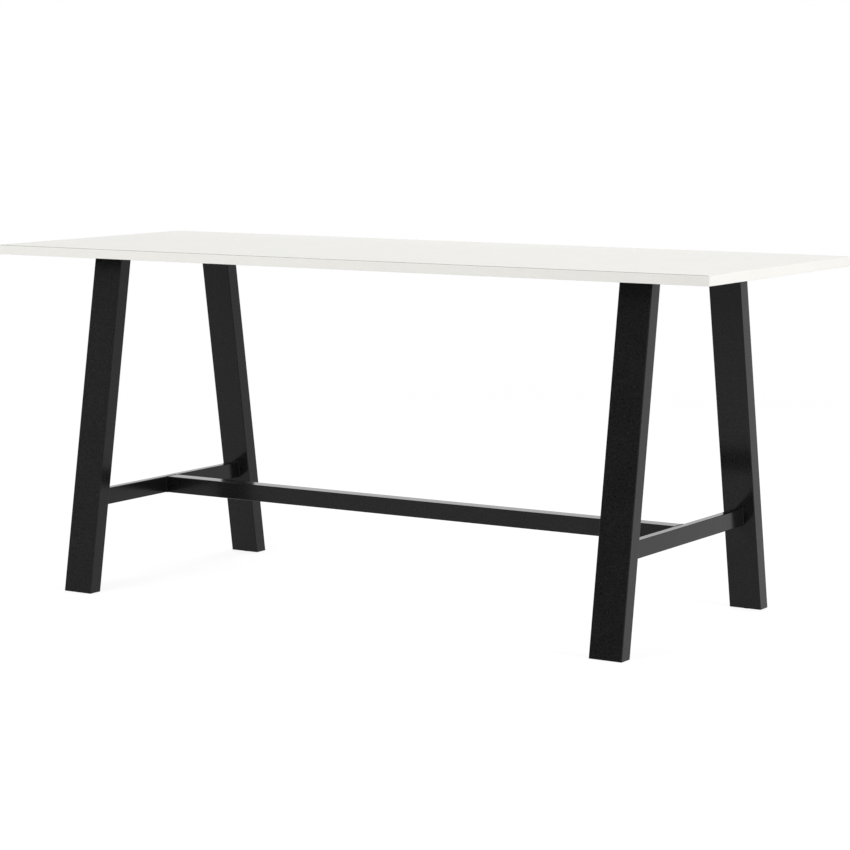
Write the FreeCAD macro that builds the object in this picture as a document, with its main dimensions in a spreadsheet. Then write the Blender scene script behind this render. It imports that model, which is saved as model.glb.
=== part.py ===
"""Bar table: a laminate top on two steel A-frames, joined by a foot rail, with levelling glides."""
import FreeCAD
import Part
import Sketcher
import os
import re

# Driving sizes in millimetres; names ending in share are plain ratios.
SIZES = {
    # whole table
    "table_length": 2438.0,
    "table_depth": 914.0,
    "table_height": 1054.0,
    # top
    "core_thickness": 27.0,
    "laminate_thickness": 0.8,
    "backer_thickness": 0.6,
    "band_thickness": 3.0,
    "band_rounding": 0.8,
    # legs
    "end_inset": 253.0,
    "leg_top_inset": 165.0,
    "leg_width": 101.6,
    "leg_depth": 48.0,
    "leg_wall": 2.0,
    "leg_rounding": 2.5,
    # cross rails and foot rail
    "rail_bottom": 255.0,
    "cross_width": 25.4,
    "cross_height": 50.8,
    "cross_wall": 2.0,
    "cross_rounding": 2.5,
    "foot_rail_width": 50.8,
    "foot_rail_height": 50.8,
    "foot_rail_wall": 2.0,
    "foot_rail_rounding": 2.5,
    # mounting plates
    "plate_thickness": 5.0,
    "plate_inset": 97.0,
    "plate_width": 120.0,
    "plate_corner": 15.0,
    "plate_screw_inset": 30.0,
    "plate_screw_pitch": 76.0,
    # hexagon wood screws that hold the top
    "plate_screw_diameter": 6.0,
    "plate_screw_length": 25.0,
    "plate_head_width": 10.0,
    "plate_head_height": 4.0,
    "plate_screw_tip_room": 2.0,
    # foot rail brackets, their nuts and flat-headed screws
    "bracket_length": 60.0,
    "bracket_height": 32.0,
    "bracket_sheet": 3.0,
    "bracket_play": 0.4,
    "rail_screw_inset": 32.0,
    "rail_screw_diameter": 8.0,
    "rail_screw_length": 16.0,
    "rail_head_diameter": 16.0,
    "rail_head_height": 2.3,
    "rail_nut_width": 13.0,
    "rail_nut_height": 6.5,
    # levelling glides, foot plates and their nuts
    "glide_proud": 1.5,
    "pad_diameter": 38.0,
    "pad_height": 8.0,
    "pad_floor": 3.0,
    "stem_diameter": 10.0,
    "stem_length": 30.0,
    "stem_foot_diameter": 14.0,
    "stem_hex_gap": 0.5,
    "stem_hex_width": 17.0,
    "stem_hex_height": 5.0,
    "foot_plate_thickness": 4.0,
    "foot_plate_gap": 0.25,
    "foot_nut_width": 17.0,
    "foot_nut_height": 8.0,
    # fits
    "hole_play": 0.3,
    "thread_play": 0.05,
    "stop_play": 0.3,
    "turning_play": 0.08,
}

# Sizes that follow from the driving ones.
FORMULAS = {
    "top_thickness": "core_thickness + laminate_thickness + backer_thickness",
    "underside": "table_height - top_thickness",
    "core_bottom": "underside + backer_thickness",
    "panel_length": "table_length - 2 * band_thickness",
    "panel_depth": "table_depth - 2 * band_thickness",
    "leg_top": "underside - plate_thickness",
    "leg_rise": "leg_top - glide_proud",
    "lean": "leg_top_inset / leg_rise",
    "stretch": "sqrt(1 + lean ^ 2)",
    "leg_section": "leg_depth * stretch",
    "wall_section": "leg_wall * stretch",
    "leg_foot_y": "(table_depth - leg_section) / 2",
    "frame_x": "table_length / 2 - end_inset - leg_width / 2",
    "cross_face_x": "frame_x - cross_width / 2",
    "cross_bottom_half": "table_depth / 2 - leg_section - (rail_bottom - glide_proud) * lean",
    "cross_top_half": "cross_bottom_half - cross_height * lean",
    "foot_rail_middle": "rail_bottom + cross_height / 2",
    "foot_rail_floor": "foot_rail_middle - foot_rail_height / 2",
    "bracket_width": "foot_rail_width - 2 * foot_rail_wall - 2 * bracket_play",
    "bracket_floor": "foot_rail_floor + foot_rail_wall",
    "plate_length": "table_depth - 2 * plate_inset",
    "plate_screw_y": "plate_length / 2 - plate_screw_inset",
    "pilot_diameter": "plate_screw_diameter + 2 * thread_play",
    "pilot_depth": "plate_screw_length + plate_screw_tip_room - plate_thickness - backer_thickness",
    "stem_hex_bottom": "pad_height + stem_hex_gap",
    "stem_thread_bottom": "stem_hex_bottom + stem_hex_height",
    "foot_plate_bottom": "stem_thread_bottom + stop_play",
    "foot_plate_top": "foot_plate_bottom + foot_plate_thickness",
    "foot_plate_rise": "foot_plate_bottom + foot_plate_thickness / 2 - glide_proud",
    "foot_plate_depth": "leg_section - 2 * wall_section - foot_plate_thickness * lean - 2 * foot_plate_gap",
    "foot_plate_width": "leg_width - 2 * leg_wall - 2 * foot_plate_gap",
    "glide_y": "leg_foot_y - foot_plate_rise * lean",
}

# Directions and the signs of the table's four quarters: -1 is left or front, 1 is right or back.
AXIS_X = FreeCAD.Vector(1, 0, 0)
AXIS_Y = FreeCAD.Vector(0, 1, 0)
AXIS_Z = FreeCAD.Vector(0, 0, 1)
SIDES = {"left": -1, "right": 1}
ROWS = {"front": -1, "back": 1}

# Largest difference at which two directions or heights count as equal.
TOLERANCE = Part.Precision.approximation()

# Rough size of freshly drawn sketch geometry, which its constraints then replace.
ROUGH = 10.0

doc = FreeCAD.newDocument("bar_table")
subparts = []


def formula(text):
    """Spell out a formula for the document: derived names are opened, sheet names get the sheet."""
    def spell(match):
        word = match[0]
        if word in FORMULAS:
            return f"({formula(FORMULAS[word])})"
        return f"dims.{word}" if word in SIZES else word
    return re.sub("[a-z_]+", spell, text)


def fill_sheet():
    """Write the driving sizes to the spreadsheet, one named cell each."""
    sheet = doc.addObject("Spreadsheet::Sheet", "dims")
    for row, (alias, size) in enumerate(SIZES.items(), start=1):
        sheet.set(f"A{row}", alias)
        sheet.set(f"B{row}", str(size))
        sheet.setAlias(f"B{row}", alias)
    doc.recompute()


def bind(thing, sizes):
    """Bind properties of a document object to formulas."""
    for path, text in sizes.items():
        thing.setExpression(path, formula(text))
    return thing


def place(thing, x="0", y="0", z="0"):
    """Put an object at a point given by three formulas."""
    return bind(thing, {"Placement.Base.x": x, "Placement.Base.y": y, "Placement.Base.z": z})


def keep(thing, label):
    """Mark an object as a sub-part that gets its own file."""
    thing.Label = label
    subparts.append(thing)
    return thing


def primitive(kind, name, sizes, x="0", y="0", z="0"):
    """Make a Part primitive with bound sizes at a point."""
    return place(bind(doc.addObject(f"Part::{kind}", name), sizes), x, y, z)


def cut(name, base, tool):
    """Cut one object from another."""
    result = doc.addObject("Part::Cut", name)
    result.Base = base
    result.Tool = tool
    return result


def fuse(name, *pieces):
    """Join objects into one solid."""
    result = doc.addObject("Part::MultiFuse", name)
    result.Shapes = list(pieces)
    return result


def group(label, piece, places):
    """Keep one sub-part made of copies of a piece at several places."""
    links = []
    for number, (x, y, z) in enumerate(places, start=1):
        link = doc.addObject("App::Link", f"{label}_copy{number}")
        link.LinkedObject = piece
        links.append(place(link, x, y, z))
    compound = doc.addObject("Part::Compound", label)
    compound.Links = links
    return keep(compound, label)


def new_body(name):
    """Start a body."""
    return doc.addObject("PartDesign::Body", name)


def new_sketch(body, name, plane, lift="0"):
    """Start a sketch on one of the body's own origin planes, lifted along its normal."""
    sketch = body.newObject("Sketcher::SketchObject", f"{body.Name}_{name}")
    support = next(part for part in body.Origin.OriginFeatures if part.Role == plane)
    sketch.AttachmentSupport = (support, [""])
    sketch.MapMode = "FlatFace"
    return bind(sketch, {"AttachmentOffset.Base.z": lift})


def bind_constraint(sketch, name, constraint, text):
    """Add a dimension to a sketch and bind it to a formula."""
    index = sketch.addConstraint(constraint)
    sketch.renameConstraint(index, name)
    sketch.setExpression(f"Constraints.{name}", formula(text))


def pin(sketch, line, point, across, along):
    """Hold a point of a sketch at two coordinates given by formulas.

    A line's start is its point 1, its end point 2, a circle's centre point 3, the origin point 1 of -1.
    """
    for axis, text in (("X", across), ("Y", along)):
        constraint = Sketcher.Constraint(f"Distance{axis}", -1, 1, line, point, ROUGH)
        bind_constraint(sketch, f"{axis.lower()}_{line}_{point}", constraint, text)


def draw_outline(sketch, corners):
    """Draw a closed outline of straight lines through corners given by formulas."""
    first = sketch.GeometryCount
    rim = [FreeCAD.Vector(ROUGH, 0, 0)]
    turn = FreeCAD.Rotation(AXIS_Z, 360 / len(corners))
    for _ in corners:
        rim.append(turn.multVec(rim[-1]))
    for start, end in zip(rim, rim[1:]):
        sketch.addGeometry(Part.LineSegment(start, end))
    lines = range(first, first + len(corners))
    for line, following in zip(lines, [*lines[1:], first]):
        sketch.addConstraint(Sketcher.Constraint("Coincident", line, 2, following, 1))
    for line, (across, along) in zip(lines, corners):
        pin(sketch, line, 1, across, along)


def draw_rectangle(sketch, width, height):
    """Draw a rectangle around the sketch's origin."""
    right, top = f"({width}) / 2", f"({height}) / 2"
    left, bottom = f"-({width}) / 2", f"-({height}) / 2"
    draw_outline(sketch, [(right, top), (left, top), (left, bottom), (right, bottom)])


def draw_clipped_rectangle(sketch, width, height, corner):
    """Draw a rectangle with its corners cut off, around the sketch's origin."""
    right, top = f"({width}) / 2", f"({height}) / 2"
    near_right, near_top = f"({width}) / 2 - ({corner})", f"({height}) / 2 - ({corner})"
    quarter = [(right, near_top), (near_right, top)]
    outline = []
    for across, along in ((1, 1), (-1, 1), (-1, -1), (1, -1)):
        ends = quarter if across == along else quarter[::-1]
        outline += [(f"{across} * ({x})", f"{along} * ({y})") for x, y in ends]
    draw_outline(sketch, outline)


def draw_circles(sketch, centres, diameter):
    """Draw equal circles around centres given by formulas."""
    for index, (across, along) in enumerate(centres):
        sketch.addGeometry(Part.Circle(FreeCAD.Vector(ROUGH * index, ROUGH, 0), AXIS_Z, ROUGH))
        pin(sketch, index, 3, across, along)
        constraint = Sketcher.Constraint("Diameter", index, ROUGH)
        bind_constraint(sketch, f"diameter_{index}", constraint, diameter)


def pad(body, sketch, length, both_ways=False):
    """Extrude a sketch along its normal, or half each way."""
    feature = body.newObject("PartDesign::Pad", f"{body.Name}_pad")
    feature.Profile = sketch
    if both_ways:
        feature.SideType = "Symmetric"
    return bind(feature, {"Length": length})


def pocket(body, sketch, depth, reverse=False, both_ways=False):
    """Cut a sketch into the body, and make sure that it removes material."""
    doc.recompute()
    before = body.Shape.Volume
    feature = body.newObject("PartDesign::Pocket", f"{body.Name}_pocket")
    feature.Profile = sketch
    feature.Reversed = reverse
    if both_ways:
        feature.SideType = "Symmetric"
    bind(feature, {"Length": depth})
    doc.recompute()
    if not body.Shape.Volume < before:
        raise RuntimeError(f"{feature.Name} cuts nothing")
    return feature


def fillet(body, base, radius, wanted):
    """Round those edges of a feature that the test picks."""
    doc.recompute()
    edges = [f"Edge{number}" for number, edge in enumerate(base.Shape.Edges, start=1) if wanted(edge)]
    feature = body.newObject("PartDesign::Fillet", f"{body.Name}_fillet")
    feature.Base = (base, edges)
    return bind(feature, {"Radius": radius})


def runs_along(edge, direction):
    """Tell whether an edge is straight and parallel to a direction."""
    if edge.Curve.TypeId != "Part::GeomLine":
        return False
    return edge.tangentAt(edge.FirstParameter).isParallel(direction, TOLERANCE)


def lies_low(edge):
    """Tell whether an edge lies in the plane that its body stands on."""
    return abs(edge.BoundBox.ZMax) < TOLERANCE and abs(edge.BoundBox.ZMin) < TOLERANCE


def round_tube(body, tube, direction, radius):
    """Round the four outer edges of a rectangular tube."""
    doc.recompute()
    middle = tube.Shape.CenterOfMass
    long_edges = [edge for edge in tube.Shape.Edges if runs_along(edge, direction)]
    reaches = [edge.CenterOfMass.distanceToPoint(middle) for edge in long_edges]
    limit = sum(reaches) / len(reaches)
    return fillet(body, tube, radius, lambda edge: runs_along(edge, direction)
                  and edge.CenterOfMass.distanceToPoint(middle) > limit)


def build_top():
    """Core board, laminate face, backer sheet and the four edge bands."""
    core = new_body("core")
    sketch = new_sketch(core, "outline", "XY_Plane")
    draw_rectangle(sketch, "panel_length", "panel_depth")
    pad(core, sketch, "core_thickness")
    sketch = new_sketch(core, "pilot_holes", "XY_Plane")
    draw_circles(sketch, top_screw_places(), "pilot_diameter")
    pocket(core, sketch, "pilot_depth", reverse=True)
    keep(place(core, z="core_bottom"), "top_core")

    backer = new_body("backer")
    sketch = new_sketch(backer, "outline", "XY_Plane")
    draw_rectangle(sketch, "panel_length", "panel_depth")
    pad(backer, sketch, "backer_thickness")
    sketch = new_sketch(backer, "pilot_holes", "XY_Plane")
    draw_circles(sketch, top_screw_places(), "pilot_diameter")
    pocket(backer, sketch, "backer_thickness", reverse=True)
    keep(place(backer, z="underside"), "backer_sheet")

    # The laminate lies over the long bands and stops at the end bands.
    sheet_sizes = {"Length": "panel_length", "Width": "table_depth", "Height": "laminate_thickness"}
    sheet_z = "table_height - laminate_thickness"
    laminate = primitive("Box", "laminate", sheet_sizes, "-panel_length / 2", "-table_depth / 2", sheet_z)
    keep(laminate, "top_laminate")

    for row, sign in ROWS.items():
        band = new_body(f"{row}_band")
        sketch = new_sketch(band, "outline", "XY_Plane")
        draw_rectangle(sketch, "panel_length", "band_thickness")
        strip = pad(band, sketch, "core_thickness + backer_thickness")
        fillet(band, strip, "band_rounding", lambda edge, sign=sign: edge.CenterOfMass.y * sign > 0
               and runs_along(edge, AXIS_X) and lies_low(edge))
        place(band, y=f"{sign} * (table_depth - band_thickness) / 2", z="underside")
        keep(band, f"{row}_edge_band")

    for side, sign in SIDES.items():
        band = new_body(f"{side}_band")
        sketch = new_sketch(band, "outline", "XY_Plane")
        draw_rectangle(sketch, "band_thickness", "table_depth")
        strip = pad(band, sketch, "top_thickness")
        fillet(band, strip, "band_rounding", lambda edge, sign=sign: edge.CenterOfMass.x * sign > 0
               and not runs_along(edge, AXIS_X))
        place(band, x=f"{sign} * (table_length - band_thickness) / 2", z="underside")
        keep(band, f"{side}_edge_band")


def plate_screw_spots():
    """Screw places on one mounting plate, from the plate's middle."""
    return [(f"{across} * plate_screw_pitch / 2", f"{along} * plate_screw_y")
            for along in ROWS.values() for across in SIDES.values()]


def top_screw_places():
    """Screw places under the whole top, from the table's middle."""
    return [(f"{sign} * frame_x + {across}", along)
            for sign in SIDES.values() for across, along in plate_screw_spots()]


def build_legs():
    """Four leaning tubes, cut level at the foot and under the mounting plate."""
    for side, across in SIDES.items():
        for row, along in ROWS.items():
            leg = new_body(f"{row}_{side}_tube")
            sketch = new_sketch(leg, "section", "XY_Plane")
            draw_rectangle(sketch, "leg_width", "leg_section")
            draw_rectangle(sketch, "leg_width - 2 * leg_wall", "leg_section - 2 * wall_section")
            tube = pad(leg, sketch, "leg_rise")
            tube.UseCustomVector = True
            tube.AlongSketchNormal = True
            bind(tube, {"Direction.x": "0", "Direction.y": f"{-along} * leg_top_inset", "Direction.z": "leg_rise"})
            doc.recompute()
            round_tube(leg, tube, tube.Direction, "leg_rounding")
            place(leg, f"{across} * frame_x", f"{along} * leg_foot_y", "glide_proud")
            keep(leg, f"{row}_{side}_leg")


def build_plates():
    """A flat bar across the two leg tops of each frame, drilled for the top's screws."""
    for side, sign in SIDES.items():
        plate = new_body(f"{side}_plate")
        sketch = new_sketch(plate, "outline", "XY_Plane")
        draw_clipped_rectangle(sketch, "plate_width", "plate_length", "plate_corner")
        pad(plate, sketch, "plate_thickness")
        sketch = new_sketch(plate, "screw_holes", "XY_Plane")
        draw_circles(sketch, plate_screw_spots(), "plate_screw_diameter + 2 * hole_play")
        pocket(plate, sketch, "plate_thickness", reverse=True)
        keep(place(plate, x=f"{sign} * frame_x", z="leg_top"), f"{side}_mounting_plate")


def build_cross_rails():
    """A narrow tube between the legs of each frame, its ends mitred to the lean."""
    for side, sign in SIDES.items():
        rail = new_body(f"{side}_cross")
        sketch = new_sketch(rail, "side_view", "YZ_Plane")
        low, high = "-cross_height / 2", "cross_height / 2"
        draw_outline(sketch, [("cross_bottom_half", low), ("cross_top_half", high),
                              ("-cross_top_half", high), ("-cross_bottom_half", low)])
        bar = pad(rail, sketch, "cross_width", both_ways=True)
        fillet(rail, bar, "cross_rounding", lambda edge: runs_along(edge, AXIS_Y))
        sketch = new_sketch(rail, "bore", "XZ_Plane")
        draw_rectangle(sketch, "cross_width - 2 * cross_wall", "cross_height - 2 * cross_wall")
        pocket(rail, sketch, "2 * cross_bottom_half", both_ways=True)
        place(rail, x=f"{sign} * frame_x", z="rail_bottom + cross_height / 2")
        keep(rail, f"{side}_cross_rail")


def rail_screw_places():
    """Screw places under the foot rail, one at each end, from the table's middle."""
    return [(f"{sign} * (cross_face_x - rail_screw_inset)", "0") for sign in SIDES.values()]


def build_foot_rail():
    """The long tube that carries the feet, with screw holes in its lower wall."""
    rail = new_body("foot_tube")
    sketch = new_sketch(rail, "section", "YZ_Plane")
    draw_rectangle(sketch, "foot_rail_width", "foot_rail_height")
    draw_rectangle(sketch, "foot_rail_width - 2 * foot_rail_wall", "foot_rail_height - 2 * foot_rail_wall")
    tube = pad(rail, sketch, "2 * cross_face_x", both_ways=True)
    round_tube(rail, tube, AXIS_X, "foot_rail_rounding")
    sketch = new_sketch(rail, "screw_holes", "XY_Plane", "-foot_rail_height / 2")
    draw_circles(sketch, rail_screw_places(), "rail_screw_diameter + 2 * hole_play")
    pocket(rail, sketch, "foot_rail_height / 2", reverse=True)
    keep(place(rail, z="foot_rail_middle"), "foot_rail")


def build_brackets():
    """A channel welded to each cross rail, which the foot rail slides over."""
    for side, sign in SIDES.items():
        bracket = new_body(f"{side}_channel")
        sketch = new_sketch(bracket, "outline", "XY_Plane")
        root, tip = "0", f"{-sign} * bracket_length"
        front, back = "-bracket_width / 2", "bracket_width / 2"
        draw_outline(sketch, [(root, front), (tip, front), (tip, back), (root, back)])
        pad(bracket, sketch, "bracket_height")
        sketch = new_sketch(bracket, "trough", "XY_Plane", "bracket_sheet")
        root = f"{-sign} * bracket_sheet"
        front, back = "bracket_sheet - bracket_width / 2", "bracket_width / 2 - bracket_sheet"
        draw_outline(sketch, [(root, front), (tip, front), (tip, back), (root, back)])
        pocket(bracket, sketch, "bracket_height", reverse=True)
        sketch = new_sketch(bracket, "screw_hole", "XY_Plane")
        draw_circles(sketch, [(f"{-sign} * rail_screw_inset", "0")], "rail_screw_diameter + 2 * hole_play")
        pocket(bracket, sketch, "bracket_sheet", reverse=True)
        keep(place(bracket, f"{sign} * cross_face_x", "0", "bracket_floor"), f"{side}_rail_bracket")


def make_screw(kind, head_form, head_sizes):
    """A screw whose shank points up from the seat of its head."""
    shank = primitive("Cylinder", f"{kind}_shank",
                      {"Radius": f"{kind}_screw_diameter / 2", "Height": f"{kind}_screw_length"})
    head = primitive(head_form, f"{kind}_head", head_sizes | {"Height": f"{kind}_head_height"},
                     z=f"-{kind}_head_height")
    return fuse(f"{kind}_screw", shank, head)


def make_nut(name, width, inner, height):
    """A plain hexagon nut standing on its lower face."""
    blank = primitive("Prism", f"{name}_blank", {"Circumradius": f"({width}) / sqrt(3)", "Height": height})
    bore = primitive("Cylinder", f"{name}_bore", {"Radius": f"({inner}) / 2", "Height": height})
    return cut(name, blank, bore)


def build_fasteners():
    """Screws of the top, and screws and nuts of the foot rail."""
    screw = make_screw("plate", "Prism", {"Circumradius": "plate_head_width / sqrt(3)"})
    group("plate_screws", screw, [(x, y, "leg_top") for x, y in top_screw_places()])

    rail_spots = rail_screw_places()
    screw = make_screw("rail", "Cylinder", {"Radius": "rail_head_diameter / 2"})
    group("rail_screws", screw, [(x, y, "foot_rail_floor") for x, y in rail_spots])
    nut = make_nut("rail_nut", "rail_nut_width", "rail_screw_diameter + 2 * thread_play", "rail_nut_height")
    group("rail_nuts", nut, [(x, y, "bracket_floor + bracket_sheet") for x, y in rail_spots])


def quarters():
    """Name and signs of the table's four feet."""
    return [(f"{row}_{side}", across, along)
            for side, across in SIDES.items() for row, along in ROWS.items()]


def build_feet():
    """In each leg's foot: a plate, a nut on it, the glide's screw and the pad that it turns in."""
    nut = make_nut("foot_nut", "foot_nut_width", "stem_diameter + 2 * thread_play", "foot_nut_height")
    spots = [(f"{across} * frame_x", f"{along} * glide_y") for _, across, along in quarters()]
    group("foot_nuts", nut, [(x, y, "foot_plate_top") for x, y in spots])
    for (quarter, _, _), (x, y) in zip(quarters(), spots):
        plate = new_body(f"{quarter}_foot")
        sketch = new_sketch(plate, "outline", "XY_Plane")
        draw_rectangle(sketch, "foot_plate_width", "foot_plate_depth")
        pad(plate, sketch, "foot_plate_thickness")
        sketch = new_sketch(plate, "stem_hole", "XY_Plane")
        draw_circles(sketch, [("0", "0")], "stem_diameter + 2 * hole_play")
        pocket(plate, sketch, "foot_plate_thickness", reverse=True)
        keep(place(plate, x, y, "foot_plate_bottom"), f"{quarter}_foot_plate")
        keep(place(make_pad(quarter), x, y), f"{quarter}_glide_pad")
        keep(place(make_stem(quarter), x, y), f"{quarter}_glide_stem")


def make_pad(quarter):
    """A round pad with a pocket in which the stem's foot turns."""
    body = new_body(f"{quarter}_pad")
    sketch = new_sketch(body, "half_section", "XZ_Plane")
    rim, pocket_wall = "pad_diameter / 2", "stem_foot_diameter / 2 + turning_play"
    draw_outline(sketch, [("0", "0"), (rim, "0"), (rim, "pad_height"), (pocket_wall, "pad_height"),
                          (pocket_wall, "pad_floor"), ("0", "pad_floor")])
    turned = body.newObject("PartDesign::Revolution", f"{body.Name}_turned")
    turned.Profile = sketch
    turned.ReferenceAxis = (sketch, ["V_Axis"])
    return body


def make_stem(quarter):
    """The glide's screw: a round foot in the pad, a hexagon for a spanner and the thread."""
    name = f"{quarter}_stem"
    foot_bottom = "pad_floor + turning_play"
    foot = primitive("Cylinder", f"{name}_foot",
                     {"Radius": "stem_foot_diameter / 2", "Height": f"stem_hex_bottom - ({foot_bottom})"},
                     z=foot_bottom)
    hexagon = primitive("Prism", f"{name}_hexagon",
                        {"Circumradius": "stem_hex_width / sqrt(3)", "Height": "stem_hex_height"},
                        z="stem_hex_bottom")
    thread = primitive("Cylinder", f"{name}_thread",
                       {"Radius": "stem_diameter / 2", "Height": "stem_length"}, z="stem_thread_bottom")
    return fuse(name, foot, hexagon, thread)


def check_and_export():
    """Stop at any failed object or bad shape, then write one file for each sub-part."""
    doc.recompute()
    failed = [thing.Name for thing in doc.Objects if {"Invalid", "Error"} & set(thing.State)]
    bad = [part.Label for part in subparts if part.Shape.isNull() or not part.Shape.isValid()]
    if failed or bad:
        raise RuntimeError(f"failed objects {failed}, bad shapes {bad}")
    os.makedirs("parts", exist_ok=True)
    for part in subparts:
        part.Shape.exportStep(os.path.join("parts", f"{part.Label}.step"))
        box = part.Shape.BoundBox
        print(f"{part.Label}: {len(part.Shape.Solids)} solid(s), "
              f"{box.XLength:.1f} x {box.YLength:.1f} x {box.ZLength:.1f}")


fill_sheet()
build_top()
build_legs()
build_plates()
build_cross_rails()
build_foot_rail()
build_brackets()
build_fasteners()
build_feet()
check_and_export()
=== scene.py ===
"""Looks of a bar table: a white laminate top on two black steel A-frames with a foot rail."""

import logging
import math
from collections.abc import Callable, Iterable, Sequence
from dataclasses import dataclass
from enum import Enum, auto

import bmesh
import bpy
from mathutils import Matrix, Vector

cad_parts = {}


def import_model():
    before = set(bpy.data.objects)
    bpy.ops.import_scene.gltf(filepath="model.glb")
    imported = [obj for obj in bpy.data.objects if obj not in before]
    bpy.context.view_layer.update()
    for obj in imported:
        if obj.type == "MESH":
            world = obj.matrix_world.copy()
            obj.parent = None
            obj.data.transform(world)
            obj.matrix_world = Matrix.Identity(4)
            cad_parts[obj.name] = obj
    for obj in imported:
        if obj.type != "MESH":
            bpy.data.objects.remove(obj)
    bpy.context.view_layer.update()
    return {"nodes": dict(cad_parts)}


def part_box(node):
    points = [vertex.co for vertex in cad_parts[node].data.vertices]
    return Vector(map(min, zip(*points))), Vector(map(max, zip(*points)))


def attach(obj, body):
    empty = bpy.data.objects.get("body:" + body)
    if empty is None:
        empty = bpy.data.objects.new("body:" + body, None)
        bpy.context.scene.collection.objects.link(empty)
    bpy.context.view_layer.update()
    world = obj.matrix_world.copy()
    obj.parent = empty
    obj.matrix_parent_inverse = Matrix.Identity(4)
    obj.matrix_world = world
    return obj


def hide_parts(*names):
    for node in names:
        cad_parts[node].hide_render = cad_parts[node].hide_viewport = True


LOG = logging.getLogger("bar_table")

# A noise lies around a half, most of it between these two values.
NOISE_LOW = 0.3
NOISE_HIGH = 0.7
# Octaves of the noise in a finish's colour, and of the noise in its gloss and relief.
COLOUR_OCTAVES = 3.0
RELIEF_OCTAVES = 2.0
# Scale of a finish's colour clouds and gloss patches, as shares of its grain.
CLOUD_SHARE = 0.02
PATCH_SHARE = 0.05
# Places of the colours among a Mix node's sockets.
MIX_FIRST = 6
MIX_SECOND = 7
MIX_RESULT = 2

# Points of a mesh that lie closer than this, in metres, become one.
MERGE_DISTANCE = 1e-7
# Faces around the turned pieces; a head has six times a whole number, so its hexagons are sharp.
HEAD_SIDES = 36
SHANK_SIDES = 24
GLIDE_FOOT_SIDES = 40
PAD_SIDES = 48
# Lines in the round of a pad's rim and of a tube's corner.
RIM_STEPS = 5
CORNER_STEPS = 4
# Faces around a weld bead, and rings along each of its ripples.
BEAD_SIDES = 8
RIPPLE_RINGS = 5.0
# A quarter of a turn in degrees, and half the angle between two corners of a hexagon in radians.
QUARTER_TURN = 90
HALF_SECTOR = math.pi / 6

Colour = tuple[float, float, float]
Point = tuple[float, float, float]
Pair = tuple[float, float]
Socket = bpy.types.NodeSocket
Nodes = dict[str, bpy.types.Object]

WHITE: Colour = (1.0, 1.0, 1.0)


class Named(Enum):
    """A choice whose name is a word in node names."""

    @property
    def word(self) -> str:
        """The word that node names have for it."""
        return self.name.lower()


class Side(Named):
    """The two ends of the table, with the sign of their X."""

    LEFT = -1
    RIGHT = 1


class Row(Named):
    """The two long sides of the table, with the sign of their Y."""

    FRONT = -1
    BACK = 1


class Outline(Enum):
    """The two outlines of a ring around a screw's axis."""

    ROUND = auto()
    HEXAGON = auto()


Ring = tuple[float, float, Outline]


class Graph:
    """A node tree under construction."""

    def __init__(self, tree: bpy.types.NodeTree) -> None:
        """Start from an empty tree."""
        self.tree = tree
        tree.nodes.clear()

    def add(self, kind: str, settings: dict | None = None, **inputs: object) -> bpy.types.Node:
        """Add a node.

        Args:
            kind: The node's type name.
            settings: Properties of the node itself.
            **inputs: Values or output sockets for its inputs, by name with underscores for spaces,
                or by position as in0, in1 and so on.

        Returns:
            The new node.
        """
        node = self.tree.nodes.new(kind)
        for name, value in (settings or {}).items():
            setattr(node, name, value)
        for name, value in inputs.items():
            place = name.removeprefix("in")
            key = int(place) if place.isdigit() else name.replace("_", " ")
            self.feed(node.inputs[key], value)
        return node

    def feed(self, socket: Socket, value: object) -> None:
        """Link an output socket to an input, or set the input's own value.

        Args:
            socket: The input.
            value: An output socket or a plain value; a colour comes without its alpha.
        """
        if isinstance(value, Socket):
            self.tree.links.new(value, socket)
        elif isinstance(value, tuple) and len(value) == 3 and socket.type == "RGBA":
            socket.default_value = (*value, 1.0)
        else:
            socket.default_value = value

    def math(self, operation: str, first: object, second: object = 0.0) -> Socket:
        """Work out one sum of two numbers or sockets, and return its socket."""
        node = self.add("ShaderNodeMath", {"operation": operation}, in0=first, in1=second)
        return node.outputs[0]

    def ramp(self, value: Socket, stops: Sequence[tuple[float, Colour]]) -> Socket:
        """Turn a number into a colour.

        Args:
            value: The number's socket.
            stops: Place and colour of each stop of the ramp, in rising order.

        Returns:
            The colour's socket.
        """
        node = self.add("ShaderNodeValToRGB", in0=value)
        elements = node.color_ramp.elements
        while len(elements) < len(stops):
            elements.new(1.0)
        for element, (place, colour) in zip(elements, stops):
            element.position = place
            element.color = (*colour, 1.0)
        return node.outputs["Color"]

    def mix(self, share: object, first: object, second: object, blend: str = "MIX") -> Socket:
        """Mix two colours.

        Args:
            share: How much of the second colour shows, as a number or a socket.
            first: The first colour.
            second: The second colour.
            blend: The way of mixing.

        Returns:
            The mixed colour's socket.
        """
        node = self.add("ShaderNodeMix", {"data_type": "RGBA", "blend_type": blend}, in0=share)
        self.feed(node.inputs[MIX_FIRST], first)
        self.feed(node.inputs[MIX_SECOND], second)
        return node.outputs[MIX_RESULT]

    def noise(self, scale: float, octaves: float) -> Socket:
        """Noise on Object coordinates.

        Args:
            scale: How many features fit in a metre.
            octaves: Layers of finer noise.

        Returns:
            The socket of a number around a half.
        """
        place = self.add("ShaderNodeTexCoord").outputs["Object"]
        node = self.add("ShaderNodeTexNoise", Vector=place, Scale=scale, Detail=octaves)
        return node.outputs[0]

    def spread(self, noise: Socket, low: float, high: float) -> Socket:
        """Spread a noise over the range between two numbers, and return its socket."""
        return self.add("ShaderNodeMapRange", Value=noise, From_Min=NOISE_LOW,
                        From_Max=NOISE_HIGH, To_Min=low, To_Max=high).outputs[0]


def shade(colour: Colour, factor: float) -> Colour:
    """A colour made darker or lighter by a factor."""
    return tuple(min(1.0, part * factor) for part in colour)


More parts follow.
